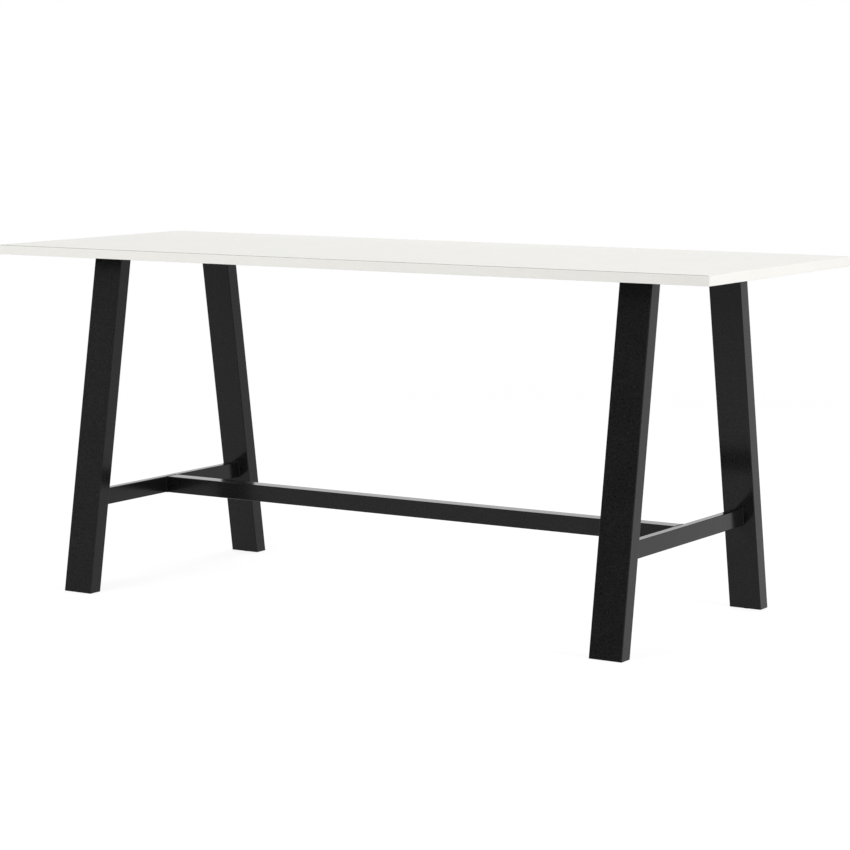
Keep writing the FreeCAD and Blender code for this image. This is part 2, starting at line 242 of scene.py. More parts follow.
def new_material(name: str) -> tuple[bpy.types.Material, Graph]:
    """Start a material.

    Args:
        name: The material's name.

    Returns:
        The material and its empty graph.
    """
    made = bpy.data.materials.new(name)
    made.use_nodes = True
    return made, Graph(made.node_tree)


@dataclass(frozen=True)
class Finish:
    """A surface finish: a base colour with fine variation, gloss and a fine relief.

    Attributes:
        name: The material's name.
        colour: The base colour.
        roughness: Blur of the gloss.
        grain: How many features of the relief fit in a metre.
        relief: Height of the relief in metres.
        variation: Share by which slow clouds change the colour.
        gloss_variation: How far uneven patches change the roughness.
        fleck: Share by which fine flecks change the colour.
        metallic: 1 for bare metal, 0 for anything else.
        ior: Index of refraction of the surface.
        coat: Weight of a clear coat.
        coat_roughness: Blur of the clear coat's gloss.
        coat_ior: Index of refraction of the clear coat.
    """

    name: str
    colour: Colour
    roughness: float
    grain: float
    relief: float = 0.00001
    variation: float = 0.03
    gloss_variation: float = 0.04
    fleck: float = 0.0
    metallic: float = 0.0
    ior: float = 1.5
    coat: float = 0.0
    coat_roughness: float = 0.1
    coat_ior: float = 1.5

    def material(self) -> bpy.types.Material:
        """Build the material, or find it where it has been built already.

        Returns:
            The material.
        """
        found = bpy.data.materials.get(self.name)
        if found:
            return found
        made, graph = new_material(self.name)
        shader = graph.add("ShaderNodeBsdfPrincipled", Metallic=self.metallic, IOR=self.ior,
                           Coat_Weight=self.coat, Coat_Roughness=self.coat_roughness,
                           Coat_IOR=self.coat_ior)
        graph.feed(shader.inputs["Base Color"], self.colour_socket(graph))
        graph.feed(shader.inputs["Roughness"], self.gloss_socket(graph))
        bump = graph.add("ShaderNodeBump", Strength=1.0, Distance=self.relief,
                         Height=self.relief_socket(graph))
        graph.feed(shader.inputs["Normal"], bump.outputs["Normal"])
        graph.add("ShaderNodeOutputMaterial", Surface=shader.outputs[0])
        return made

    def colour_socket(self, graph: Graph) -> Socket:
        """Colour with slow, faint clouds and fine flecks.

        Args:
            graph: The material's graph.

        Returns:
            The colour's socket.
        """
        clouds = graph.noise(self.grain * CLOUD_SHARE, COLOUR_OCTAVES)
        low = shade(self.colour, 1 - self.variation)
        high = shade(self.colour, 1 + self.variation)
        colour = graph.ramp(clouds, [(NOISE_LOW, low), (NOISE_HIGH, high)])
        if not self.fleck:
            return colour
        fine = graph.noise(self.grain, COLOUR_OCTAVES)
        flecks = graph.spread(fine, 1 - self.fleck, 1 + self.fleck)
        return graph.mix(1.0, colour, flecks, "MULTIPLY")

    def gloss_socket(self, graph: Graph) -> Socket:
        """Roughness with faint uneven patches.

        Args:
            graph: The material's graph.

        Returns:
            The roughness's socket.
        """
        patches = graph.noise(self.grain * PATCH_SHARE, RELIEF_OCTAVES)
        low = self.roughness - self.gloss_variation
        high = self.roughness + self.gloss_variation
        return graph.spread(patches, low, high)

    def relief_socket(self, graph: Graph) -> Socket:
        """Height of the fine relief."""
        return graph.noise(self.grain, RELIEF_OCTAVES)


@dataclass(frozen=True)
class LaminateFinish(Finish):
    """Laminate whose cut edge shows the darker sheet that it is made of.

    Attributes:
        edge_colour: Colour of the cut edge.
        face_from: Rise of the normal above which a surface counts as the face.
    """

    edge_colour: Colour = (0.16, 0.148, 0.13)
    face_from: float = 0.5

    def colour_socket(self, graph: Graph) -> Socket:
        """White on the face, the darker sheet on the upright sides.

        Args:
            graph: The material's graph.

        Returns:
            The colour's socket.
        """
        face = super().colour_socket(graph)
        normal = graph.add("ShaderNodeNewGeometry").outputs["Normal"]
        rise = graph.add("ShaderNodeSeparateXYZ", Vector=normal).outputs["Z"]
        level = graph.math("GREATER_THAN", graph.math("ABSOLUTE", rise), self.face_from)
        return graph.mix(level, self.edge_colour, face)


@dataclass(frozen=True)
class ChipFinish(Finish):
    """Pressed wood chips.

    Attributes:
        chip: How many chips fit in a metre.
        dark: Tone of the darkest chips, as a share of the colour.
        light: Tone of the lightest chips, as a share of the colour.
    """

    chip: float = 260.0
    dark: float = 0.6
    light: float = 1.35

    def colour_socket(self, graph: Graph) -> Socket:
        """Chips of differing tone.

        Args:
            graph: The material's graph.

        Returns:
            The colour's socket.
        """
        place = graph.add("ShaderNodeTexCoord").outputs["Object"]
        cells = graph.add("ShaderNodeTexVoronoi", Vector=place, Scale=self.chip)
        tone = graph.add("ShaderNodeSeparateColor", Color=cells.outputs["Color"]).outputs[0]
        dark, light = shade(self.colour, self.dark), shade(self.colour, self.light)
        return graph.ramp(tone, [(0.0, dark), (0.5, self.colour), (1.0, light)])


LAMINATE = LaminateFinish(name="white_laminate_face", colour=(0.86, 0.853, 0.812), roughness=0.42,
                          grain=420.0, variation=0.008, fleck=0.04)
EDGE_BAND = Finish(name="white_band_face", colour=(0.83, 0.823, 0.784), roughness=0.45,
                   grain=600.0, variation=0.008, fleck=0.02)
BACKER = Finish(name="balancing_sheet", colour=(0.62, 0.60, 0.56), roughness=0.6,
                grain=700.0, relief=0.00003, variation=0.04)
BOARD = ChipFinish(name="chip_board", colour=(0.50, 0.38, 0.25), roughness=0.8,
                   grain=500.0, relief=0.0002)
PAINT = Finish(name="black_powder_coat_paint", colour=(0.0102, 0.0102, 0.0106), roughness=0.18,
               grain=400.0, variation=0.08, gloss_variation=0.02, fleck=0.9, ior=1.25,
               coat=0.6, coat_roughness=0.12, coat_ior=1.1)
ZINC = Finish(name="zinc_plate", colour=(0.60, 0.61, 0.62), roughness=0.32,
              grain=800.0, variation=0.06, gloss_variation=0.08, metallic=1.0)
BLACK_STEEL = Finish(name="black_screw_finish", colour=(0.03, 0.03, 0.03), roughness=0.35,
                     grain=700.0, variation=0.1, gloss_variation=0.06)
NYLON = Finish(name="glide_nylon_finish", colour=(0.03, 0.03, 0.03), roughness=0.5,
               grain=1200.0, relief=0.00002, variation=0.05)


def dress(node: bpy.types.Object, finish: Finish) -> None:
    """Give a node or piece one finish.

    Args:
        node: The node or piece.
        finish: What it is dressed in.
    """
    node.data.materials.clear()
    node.data.materials.append(finish.material())
    LOG.info("dressed %s in %s", node.name, finish.name)


def new_piece(name: str, mesh: bpy.types.Mesh) -> bpy.types.Object:
    """Put a mesh into the scene as a piece at the origin.

    Args:
        name: The piece's name.
        mesh: Its mesh, which holds its place.

    Returns:
        The piece.
    """
    piece = bpy.data.objects.new(name, mesh)
    bpy.context.scene.collection.objects.link(piece)
    return piece


def mesh_from(name: str, fill: Callable[[bmesh.types.BMesh], None]) -> bpy.types.Mesh:
    """Make a mesh whose normals point outwards.

    Args:
        name: The mesh's name.
        fill: What fills it with points and faces.

    Returns:
        The mesh.
    """
    work = bmesh.new()
    fill(work)
    bmesh.ops.remove_doubles(work, verts=work.verts, dist=MERGE_DISTANCE)
    bmesh.ops.recalc_face_normals(work, faces=work.faces)
    mesh = bpy.data.meshes.new(name)
    work.to_mesh(mesh)
    work.free()
    return mesh


def plain_mesh(name: str, points: Sequence[Point], edges: Sequence[tuple[int, int]] = (),
               faces: Sequence[tuple[int, ...]] = ()) -> bpy.types.Mesh:
    """Make a mesh from lists.

    Args:
        name: The mesh's name.
        points: Its points.
        edges: Pairs of points by number.
        faces: Rings of points by number.

    Returns:
        The mesh.
    """
    mesh = bpy.data.meshes.new(name)
    mesh.from_pydata(points, edges, faces)
    return mesh


def card_mesh(name: str, width: float, height: float) -> bpy.types.Mesh:
    """A flat rectangle around the origin that faces up.

    Args:
        name: The mesh's name.
        width: Its size along X.
        height: Its size along Y.

    Returns:
        The mesh.
    """
    across, along = width / 2, height / 2
    corners = [(-across, -along, 0), (across, -along, 0), (across, along, 0), (-across, along, 0)]
    return plain_mesh(name, corners, faces=[tuple(range(len(corners)))])


def loops_mesh(name: str, loops: Iterable[Sequence[Point]]) -> bpy.types.Mesh:
    """A mesh of closed loops of edges.

    Args:
        name: The mesh's name.
        loops: The points of each loop, in turning order.

    Returns:
        The mesh.
    """
    points: list[Point] = []
    edges: list[tuple[int, int]] = []
    for loop in loops:
        first = len(points)
        count = len(loop)
        points.extend(loop)
        edges.extend((first + step, first + (step + 1) % count) for step in range(count))
    return plain_mesh(name, points, edges)


def stitch(work: bmesh.types.BMesh, rings: Sequence[Sequence[bmesh.types.BMVert]]) -> None:
    """Join each ring of points to the next one with faces.

    Args:
        work: The mesh that is filled.
        rings: Rings with as many points each; on the axis, a ring is one point repeated.
    """
    for low, high in zip(rings, rings[1:]):
        for step in range(len(low)):
            after = (step + 1) % len(low)
            corners = dict.fromkeys((low[step], low[after], high[after], high[step]))
            work.faces.new(list(corners))


def lathe(work: bmesh.types.BMesh, profile: Sequence[Pair], steps: int) -> None:
    """Turn a profile around Z.

    Args:
        work: The mesh that is filled.
        profile: Radius and height of each point; the first and last lie on the axis.
        steps: Faces around the axis.
    """
    turns = [math.tau * step / steps for step in range(steps)]
    rings = []
    for radius, height in profile:
        if radius == 0:
            rings.append([work.verts.new((0, 0, height))] * steps)
            continue
        rings.append([work.verts.new((radius * math.cos(turn), radius * math.sin(turn), height))
                      for turn in turns])
    stitch(work, rings)


def skin_rings(work: bmesh.types.BMesh, rings: Sequence[Ring]) -> None:
    """Close a stack of round and hexagonal rings, all drawn with as many points.

    Args:
        work: The mesh that is filled.
        rings: Radius, height and outline of each ring; a hexagon's radius reaches its corners.
    """
    rows = []
    for radius, height, outline in rings:
        row = []
        for step in range(HEAD_SIDES):
            turn = math.tau * step / HEAD_SIDES
            reach = radius
            if outline is Outline.HEXAGON:
                sector = (turn + HALF_SECTOR) % (2 * HALF_SECTOR) - HALF_SECTOR
                reach = radius * math.cos(HALF_SECTOR) / math.cos(HALF_SECTOR - abs(sector))
            row.append(work.verts.new((reach * math.cos(turn), reach * math.sin(turn), height)))
        rows.append(row)
    stitch(work, rows)
    for row in (rows[0], rows[-1]):
        work.faces.new(row)


def arc(centre: Pair, radius: float, start: float, end: float, steps: int) -> list[Pair]:
    """Points of a round corner of a profile, from one angle in degrees to another."""
    angles = (math.radians(start + (end - start) * step / steps) for step in range(steps + 1))
    return [(centre[0] + radius * math.cos(a), centre[1] + radius * math.sin(a)) for a in angles]


def rounded_rectangle(low: Pair, high: Pair, corner: float) -> list[Pair]:
    """Points of a rectangle with round corners.

    Args:
        low: Its lowest corner.
        high: Its highest corner.
        corner: Radius of the corners.

    Returns:
        The points, in turning order.
    """
    points: list[Pair] = []
    reach = corner * math.sqrt(2)
    for quarter, (x, y) in enumerate((high, (low[0], high[1]), low, (high[0], low[1]))):
        start = quarter * QUARTER_TURN
        turn = math.radians(start + QUARTER_TURN / 2)
        middle = (x - reach * math.cos(turn), y - reach * math.sin(turn))
        points.extend(arc(middle, corner, start, start + QUARTER_TURN, CORNER_STEPS))
    return points


class NodeGroup:
    """A geometry tree with named inputs, run once to give a plain mesh."""

    def __init__(self, name: str, inputs: dict[str, str]) -> None:
        """Start a tree.

        Args:
            name: The tree's name.
            inputs: Name and kind of each input besides the geometry and the material.
        """
        self.tree = bpy.data.node_groups.new(name, "GeometryNodeTree")
        self.graph = Graph(self.tree)
        face = self.tree.interface
        face.new_socket("Geometry", in_out="INPUT", socket_type="NodeSocketGeometry")
        for label, kind in inputs.items():
            face.new_socket(label, in_out="INPUT", socket_type=f"NodeSocket{kind}")
        face.new_socket("Material", in_out="INPUT", socket_type="NodeSocketMaterial")
        face.new_socket("Geometry", in_out="OUTPUT", socket_type="NodeSocketGeometry")
        self.source = self.graph.add("NodeGroupInput").outputs

    def close(self, geometry: Socket) -> None:
        """End the tree: instances become real, and everything gets the material.

        Args:
            geometry: The socket of what the tree has made.
        """
        real = self.graph.add("GeometryNodeRealizeInstances", Geometry=geometry)
        plain = self.graph.add("GeometryNodeSetShadeSmooth", Geometry=real.outputs[0], Shade_Smooth=False)
        dressed = self.graph.add("GeometryNodeSetMaterial", Geometry=plain.outputs[0],
                                 Material=self.source["Material"])
        self.graph.add("NodeGroupOutput", Geometry=dressed.outputs[0])

    def run(self, name: str, mesh: bpy.types.Mesh, values: dict[str, object]) -> bpy.types.Object:
        """Run the tree on a mesh.

        Args:
            name: The finished piece's name.
            mesh: What goes into the tree.
            values: A value for each named input.

        Returns:
            A piece with a plain mesh and no modifier.
        """
        carrier = new_piece(name, mesh)
        modifier = carrier.modifiers.new("shape", "NODES")
        modifier.node_group = self.tree
        for item in self.tree.interface.items_tree:
            if item.in_out == "INPUT" and item.name in values:
                modifier[item.identifier] = values[item.name]
        graph = bpy.context.evaluated_depsgraph_get()
        made = bpy.data.meshes.new_from_object(carrier.evaluated_get(graph), depsgraph=graph)
        carrier.modifiers.remove(modifier)
        carrier.data = made
        made.name = name
        return carrier


def fastener_tree() -> NodeGroup:
    """A tree that sets one fastener on each point, each turned by a chance angle.

    Returns:
        The tree.
    """
    group = NodeGroup("fastener_set", {"Fastener": "Object", "Seed": "Int"})
    graph, source = group.graph, group.source
    shape = graph.add("GeometryNodeObjectInfo", Object=source["Fastener"]).outputs["Geometry"]
    chance = graph.add("FunctionNodeRandomValue", {"data_type": "FLOAT"}, in2=0.0, in3=math.tau)
    graph.feed(chance.inputs["Seed"], source["Seed"])
    turn = graph.add("ShaderNodeCombineXYZ", Z=chance.outputs[1])
    spots = graph.add("GeometryNodeMeshToPoints", Mesh=source["Geometry"])
    placed = graph.add("GeometryNodeInstanceOnPoints", Points=spots.outputs[0], Instance=shape,
                       Rotation=turn.outputs[0])
    group.close(placed.outputs[0])
    return group


def bead_tree() -> NodeGroup:
    """A tree that lays a rippled weld bead along the edges of a mesh.

    Returns:
        The tree.
    """
    group = NodeGroup("weld_bead", {"Radius": "Float", "Ripple": "Float", "Swell": "Float"})
    graph, source = group.graph, group.source
    line = graph.add("GeometryNodeMeshToCurve", Mesh=source["Geometry"])
    step = graph.math("DIVIDE", source["Ripple"], RIPPLE_RINGS)
    fine = graph.add("GeometryNodeResampleCurve", {"mode": "LENGTH"}, Curve=line.outputs[0], Length=step)
    along = graph.add("GeometryNodeSplineParameter").outputs["Length"]
    ripples = graph.math("DIVIDE", along, source["Ripple"])
    wave = graph.math("SINE", graph.math("MULTIPLY", ripples, math.tau))
    swell = graph.math("ADD", 1.0, graph.math("MULTIPLY", wave, source["Swell"]))
    ring = graph.add("GeometryNodeCurvePrimitiveCircle", Resolution=BEAD_SIDES, Radius=source["Radius"])
    tube = graph.add("GeometryNodeCurveToMesh", Curve=fine.outputs[0],
                     Profile_Curve=ring.outputs[0], Scale=swell, Fill_Caps=True)
    group.close(tube.outputs[0])
    return group


def thread_tree() -> NodeGroup:
    """A tree that adds a threaded shank to a mesh, standing at a height on the Z axis.

    Returns:
        The tree.
    """
    group = NodeGroup("screw_thread", {"Radius": "Float", "Pitch": "Float", "Depth": "Float",
                                       "Length": "Float", "Rows": "Int", "Place": "Vector"})
    graph, source = group.graph, group.source
    shank = graph.add("GeometryNodeMeshCylinder", Vertices=SHANK_SIDES,
                      Side_Segments=source["Rows"], Radius=source["Radius"], Depth=source["Length"])

    # The valley is 0 on a thread's crest and 1 halfway between two crests.
    place = graph.add("GeometryNodeInputPosition").outputs[0]
    parts = graph.add("ShaderNodeSeparateXYZ", Vector=place).outputs
    turn = graph.math("DIVIDE", graph.math("ARCTAN2", parts["Y"], parts["X"]), math.tau)
    climb = graph.math("DIVIDE", parts["Z"], source["Pitch"])
    phase = graph.math("FRACT", graph.math("SUBTRACT", climb, turn))
    valley = graph.math("MULTIPLY", graph.math("ABSOLUTE", graph.math("SUBTRACT", phase, 0.5)), 2.0)

    cut = graph.math("DIVIDE", graph.math("MULTIPLY", valley, source["Depth"]), source["Radius"])
    inward = graph.math("MULTIPLY", cut, -1.0)
    flat = graph.add("ShaderNodeCombineXYZ", X=parts["X"], Y=parts["Y"])
    offset = graph.add("ShaderNodeVectorMath", {"operation": "SCALE"}, Vector=flat.outputs[0], Scale=inward)
    threaded = graph.add("GeometryNodeSetPosition", Geometry=shank.outputs[0], Offset=offset.outputs[0])
    stood = graph.add("GeometryNodeTransform", Geometry=threaded.outputs[0], Translation=source["Place"])
    both = graph.add("GeometryNodeJoinGeometry")
    graph.feed(both.inputs[0], source["Geometry"])
    graph.feed(both.inputs[0], stood.outputs[0])
    group.close(both.outputs[0])
    return group


@dataclass
class TableTop:
    """The laminate face, core, backer and edge bands."""

    nodes: Nodes

    def dress(self) -> None:
        """Give each layer its finish."""
        dress(self.nodes["top_laminate"], LAMINATE)
        dress(self.nodes["top_core"], BOARD)
        dress(self.nodes["backer_sheet"], BACKER)
        for word in ("front", "back", "left", "right"):
            dress(self.nodes[f"{word}_edge_band"], EDGE_BAND)


@dataclass(frozen=True)
class Bead:
    """A painted bead along a joint.

    Attributes:
        radius: Radius of the bead.
        ripple: Length of one ripple.
        swell: Share by which a ripple swells the bead.
    """

    radius: float
    ripple: float
    swell: float

    def lay(self, name: str, paths: Sequence[Sequence[Point]], beads: NodeGroup) -> None:
        """Lay the bead along closed paths.

        Args:
            name: The finished piece's name.
            paths: The joints' outlines.
            beads: The tree that makes a bead.
        """
        values = {"Radius": self.radius, "Ripple": self.ripple, "Swell": self.swell,
                  "Material": PAINT.material()}
        piece = beads.run(name, loops_mesh(name, paths), values)
        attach(piece, "table")
        LOG.info("built %s along %d joints", name, len(paths))


@dataclass
class LegFrame:
    """One A-frame: two leaning legs, a cross rail and a mounting plate, welded together.

    Attributes:
        leg_section: Depth of a leg's tube along its level cut.
        corner: Radius of the tubes' corners.
        plate_weld: The bead under the mounting plate.
        rail_weld: The bead at the cross rail's ends.
    """

    nodes: Nodes
    side: Side
    leg_section: float = 0.048625
    corner: float = 0.0025
    plate_weld: Bead = Bead(radius=0.0026, ripple=0.0022, swell=0.1)
    rail_weld: Bead = Bead(radius=0.0019, ripple=0.0016, swell=0.06)

    def build(self, beads: NodeGroup) -> None:
        """Lay the weld beads under the mounting plate and at the cross rail's ends.

        Args:
            beads: The tree that makes a bead.
        """
        word = self.side.word
        self.plate_weld.lay(f"{word}_plate_welds", [self.leg_outline(row) for row in Row], beads)
        self.rail_weld.lay(f"{word}_cross_rail_welds", [self.rail_outline(row) for row in Row], beads)

    def leg_outline(self, row: Row) -> list[Point]:
        """The rounded outline of a leg where it meets the mounting plate.

        Args:
            row: The leg's row.

        Returns:
            The outline's points.
        """
        low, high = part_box(f"{row.word}_{self.side.word}_leg")
        inner = high.y if row is Row.FRONT else low.y
        outer = inner + row.value * self.leg_section
        front, back = sorted((inner, outer))
        outline = rounded_rectangle((low.x, front), (high.x, back), self.corner)
        return [(x, y, high.z) for x, y in outline]

    def rail_outline(self, row: Row) -> list[Point]:
        """The rounded outline of the cross rail where its slanting end meets a leg.

        Args:
            row: The leg's row.

        Returns:
            The outline's points.
        """
        low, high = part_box(f"{row.word}_{self.side.word}_leg")
        lean = (high.y - low.y - self.leg_section) / (high.z - low.z)
        low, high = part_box(f"{self.side.word}_cross_rail")
        outline = rounded_rectangle((low.x, low.z), (high.x, high.z), self.corner)
        return [(x, row.value * (high.y - (z - low.z) * lean), z) for x, z in outline]

    def dress(self) -> None:
        """Paint the frame's tubes and plate."""
        legs = [f"{row.word}_{self.side.word}_leg" for row in Row]
        for name in (*legs, f"{self.side.word}_cross_rail", f"{self.side.word}_mounting_plate"):
            dress(self.nodes[name], PAINT)


@dataclass
class HexScrew:
    """A hexagon screw: its shank points up from the seat, its head hangs below it.

    Attributes:
        bevel_share: Height of the head's bevel, as a share of the head's height.
        seat_share: Height of the bevel at the seat, as a share of the head's bevel.
        washer_share: Reach of the head's round faces, as a share of half its width.
        tip_share: Length of the shank's bevelled tip, as a share of its radius.
    """

    name: str
    head_width: float
    head_height: float
    shank_radius: float
    shank_length: float
    bevel_share: float = 0.12
    seat_share: float = 0.3
    washer_share: float = 0.96
    tip_share: float = 0.2

    def build(self) -> bpy.types.Object:
        """Make one screw at the origin, as the shape that a fastener set repeats."""
        mesh = mesh_from(self.name, self.fill)
        return bpy.data.objects.new(self.name, mesh)

    def head_rings(self) -> list[Ring]:
        """The head's washer face, its prism and its bevelled end.

        Returns:
            The rings, from the seat down.
        """
        flat = self.head_width / 2
        peak = flat / math.cos(HALF_SECTOR)
        washer = flat * self.washer_share
        bevel = self.head_height * self.bevel_share
        return [(washer, 0.0, Outline.ROUND),
                (peak, -bevel * self.seat_share, Outline.HEXAGON),
                (peak, bevel - self.head_height, Outline.HEXAGON),
                (washer, -self.head_height, Outline.ROUND)]

    def fill(self, work: bmesh.types.BMesh) -> None:
        """Fill a mesh with the head and the shank.

        Args:
            work: The mesh that is filled.
        """
        skin_rings(work, self.head_rings())
        radius, tip = self.shank_radius, self.shank_length
        run = radius * self.tip_share
        lathe(work, [(0, 0), (radius, 0), (radius, tip - run), (radius - run, tip), (0, tip)], SHANK_SIDES)


@dataclass
class SocketScrew(HexScrew):
    """A furniture screw with a flat round head and a hexagon socket.

    Attributes:
        socket_width: Width of the socket.
        socket_depth: Depth of the socket.
    """

    socket_width: float = 0.005
    socket_depth: float = 0.0016

    def head_rings(self) -> list[Ring]:
        """The head's rim, its bevelled edge, its face and the socket.

        Returns:
            The rings, from the seat down and into the socket.
        """
        rim = self.head_width / 2
        bevel = self.head_height * self.bevel_share
        peak = self.socket_width / 2 / math.cos(HALF_SECTOR)
        face = -self.head_height
        return [(rim, 0.0, Outline.ROUND),
                (rim, face + bevel, Outline.ROUND),
                (rim - bevel, face, Outline.ROUND),
                (peak, face, Outline.HEXAGON),
                (peak, face + self.socket_depth, Outline.HEXAGON)]


@dataclass
class FastenerSet:
    """Equal screws, turned by chance, at the places of one node's solids."""

    node: str
    screw: HexScrew
    finish: Finish
    slot: str
    seed: int

    def build(self, places: Sequence[Point], fasteners: NodeGroup) -> None:
        """Set the screws and let them stand for the node.

        Args:
            places: The screws' seats.
            fasteners: The tree that repeats a fastener.
        """
        shape = self.screw.build()
        name = f"{self.node}_dressed"
        spots = plain_mesh(name, places)
        values = {"Fastener": shape, "Seed": self.seed, "Material": self.finish.material()}
        screws = fasteners.run(name, spots, values)
        bpy.data.objects.remove(shape)
        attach(screws, "table")
        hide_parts(self.node)
        LOG.info("built %s at %d places", name, len(places))


@dataclass
class TopFixing:
    """The screws that hold the top to the mounting plates.

    Attributes:
        screw_inset: From a plate's end to its screws.
        screw_pitch: Between the two screws of a pair.
    """

    screw_inset: float = 0.030
    screw_pitch: float = 0.076

    def screw_places(self) -> list[Point]:
        """Seats of the screws under the two mounting plates.

        Returns:
            The seats.
        """
        places: list[Point] = []
        for side in Side:
            low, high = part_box(f"{side.word}_mounting_plate")
            middle = (low.x + high.x) / 2
            for row in Row:
                along = row.value * (high.y - self.screw_inset)
                places.extend((middle + across * self.screw_pitch / 2, along, low.z) for across in (-1, 1))
        return places


@dataclass
class FootRail:
    """The long rail, with its brackets and nuts.

    Attributes:
        screw_inset: From the rail's end to its screw.
        corner: Radius of the tube's corners.
        seam: The filled seam of the butt joints.
    """

    nodes: Nodes
    screw_inset: float = 0.032
    corner: float = 0.0025
    seam: Bead = Bead(radius=0.0012, ripple=0.004, swell=0.02)

    def screw_places(self) -> list[Point]:
        """Seats of the screws under the rail's two ends."""
        low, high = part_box("foot_rail")
        return [(side.value * (high.x - self.screw_inset), 0.0, low.z) for side in Side]

    def build(self, beads: NodeGroup) -> None:
        """Close the rail's two butt joints with a thin filled seam.

        Args:
            beads: The tree that makes a bead.
        """
        low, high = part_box("foot_rail")
        outline = rounded_rectangle((low.y, low.z), (high.y, high.z), self.corner)
        paths = [[(side.value * high.x, y, z) for y, z in outline] for side in Side]
        self.seam.lay("foot_rail_seams", paths, beads)

    def dress(self) -> None:
        """Paint the rail and its brackets, and plate the nuts."""
        for name in ("foot_rail", "left_rail_bracket", "right_rail_bracket"):
            dress(self.nodes[name], PAINT)
        dress(self.nodes["rail_nuts"], ZINC)


@dataclass
class LevellingFoot:
    """One levelling glide: a pad and a threaded stem in the end of a leg.

    Heights are measured from the floor.

    Attributes:
        thread_radius: Radius of the thread's crests.
        pitch: Rise of the thread in one turn.
        thread_depth: Depth of the thread's valleys.
        rows_per_pitch: Rows of faces along one turn.
        thread_bottom: Height at which the spanner hexagon ends and the thread starts.
        hexagon_bottom: Height at which the stem's foot ends and the hexagon starts.
        hexagon_bevel_share: Height of the hexagon's bevels, as a share of its own height.
        pad_floor: Height of the floor of the pad's pocket.
        pad_pocket: Radius of the pocket.
        pad_round: Radius of the rim's edges.
    """

    nodes: Nodes
    side: Side
    row: Row
    thread_radius: float = 0.005
    pitch: float = 0.0015
    thread_depth: float = 0.0009
    rows_per_pitch: int = 8
    thread_bottom: float = 0.0135
    thread_length: float = 0.030
    foot_radius: float = 0.007
    foot_bottom: float = 0.00308
    hexagon_width: float = 0.017
    hexagon_bottom: float = 0.0085
    hexagon_bevel_share: float = 0.1
    pad_radius: float = 0.019
    pad_height: float = 0.008
    pad_floor: float = 0.003
    pad_pocket: float = 0.00708
    pad_round: float = 0.0015

    @property
    def word(self) -> str:
        """The foot's name in node names."""
        return f"{self.row.word}_{self.side.word}"

    def middle(self) -> Vector:
        """The place on the floor under the glide's axis."""
        low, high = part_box(f"{self.word}_glide_pad")
        return Vector(((low.x + high.x) / 2, (low.y + high.y) / 2, low.z))

    def build(self, threads: NodeGroup) -> None:
        """Make the pad and the stem, and let them stand for their nodes.

        Args:
            threads: The tree that makes a thread.
        """
        spot = self.middle()
        mesh = mesh_from(f"{self.word}_pad_dressed", self.fill_pad)
        mesh.transform(Matrix.Translation(spot))
        pad = new_piece(mesh.name, mesh)
        dress(pad, NYLON)
        self.seat(pad, "pad")

        name = f"{self.word}_stem_dressed"
        rows = round(self.thread_length / self.pitch) * self.rows_per_pitch
        values = {"Radius": self.thread_radius, "Pitch": self.pitch, "Depth": self.thread_depth,
                  "Length": self.thread_length, "Rows": rows,
                  "Place": (0.0, 0.0, self.thread_bottom + self.thread_length / 2),
                  "Material": ZINC.material()}
        stem = threads.run(name, mesh_from(name, self.fill_stem), values)
        stem.data.transform(Matrix.Translation(spot))
        self.seat(stem, "stem")

    def seat(self, piece: bpy.types.Object, part: str) -> None:
        """Let a piece ride on one of the glide's bodies and stand for its node.

        Args:
            piece: The piece.
            part: The body's word, pad or stem.
        """
        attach(piece, f"{self.word}_{part}")
        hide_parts(f"{self.word}_glide_{part}")
        LOG.info("built %s", piece.name)

    def fill_pad(self, work: bmesh.types.BMesh) -> None:
        """Fill a mesh with the pad: a rounded rim and a pocket.

        Args:
            work: The mesh that is filled.
        """
        edge = self.pad_radius - self.pad_round
        lower = arc((edge, self.pad_round), self.pad_round, -QUARTER_TURN, 0, RIM_STEPS)
        upper = arc((edge, self.pad_height - self.pad_round), self.pad_round, 0, QUARTER_TURN, RIM_STEPS)
        profile = [(0, 0), *lower, *upper, (self.pad_pocket, self.pad_height),
                   (self.pad_pocket, self.pad_floor), (0, self.pad_floor)]
        lathe(work, profile, PAD_SIDES)

    def fill_stem(self, work: bmesh.types.BMesh) -> None:
        """Fill a mesh with the stem's foot and spanner hexagon.

        Args:
            work: The mesh that is filled.
        """
        low, high = self.foot_bottom, self.hexagon_bottom
        profile = [(0, low), (self.foot_radius, low), (self.foot_radius, high), (0, high)]
        lathe(work, profile, GLIDE_FOOT_SIDES)

        low, high = self.hexagon_bottom, self.thread_bottom
        flat = self.hexagon_width / 2
        peak = flat / math.cos(HALF_SECTOR)
        bevel = (high - low) * self.hexagon_bevel_share
        skin_rings(work, [(flat, low, Outline.ROUND),
                          (peak, low + bevel, Outline.HEXAGON),
                          (peak, high - bevel, Outline.HEXAGON),
                          (flat, high, Outline.ROUND)])

    def dress(self) -> None:
        """Paint the foot plate."""
        dress(self.nodes[f"{self.word}_foot_plate"], PAINT)


@dataclass(frozen=True)
class Softbox:
    """A large soft lamp that lights without showing in gloss; its power is in watts."""

    name: str
    place: Point
    aim: Point
    width: float
    height: float
    power: float

    def build(self) -> None:
        """Make the lamp and aim it."""
        lamp = bpy.data.lights.new(self.name, "AREA")
        lamp.shape = "RECTANGLE"
        lamp.size = self.width
        lamp.size_y = self.height
        lamp.energy = self.power
        holder = bpy.data.objects.new(self.name, lamp)
        holder.location = self.place
        towards = Vector(self.aim) - Vector(self.place)
        holder.rotation_euler = towards.to_track_quat("-Z", "Y").to_euler()
        holder.visible_camera = False
        holder.visible_glossy = False
        bpy.context.scene.collection.objects.link(holder)
        LOG.info("set %s", self.name)


